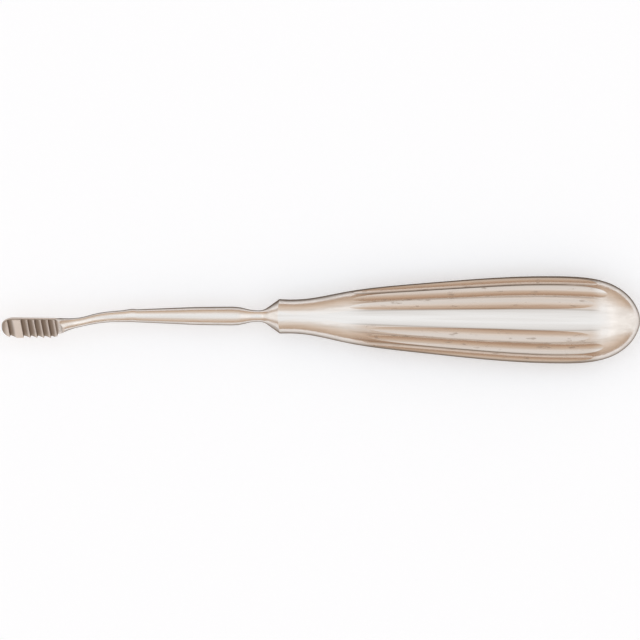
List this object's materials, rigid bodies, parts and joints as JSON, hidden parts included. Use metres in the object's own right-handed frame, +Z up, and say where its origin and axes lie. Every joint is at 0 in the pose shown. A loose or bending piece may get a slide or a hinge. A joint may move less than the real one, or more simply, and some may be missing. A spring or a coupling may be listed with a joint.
{
  "type": "nasal rasp",
  "caption": "One-piece steel nasal rasp: a fluted palm handle, a slim S-curved shank and a half-round head with slanted transverse teeth.",
  "frame": {"origin": "on the surface that the rasp lies on, under the middle of its length, on the handle's centre line", "axes": "+X from the toothed head to the butt along the handle, +Y to the side that the head is offset to, +Z up, square to the handle's broad faces"},
  "size_m": [0.175, 0.024, 0.0129],
  "materials": {
    "satin_steel": "satin"
  },
  "bodies": {
    "root": {"nasal_rasp": "satin_steel"}
  },
  "joints": []
}
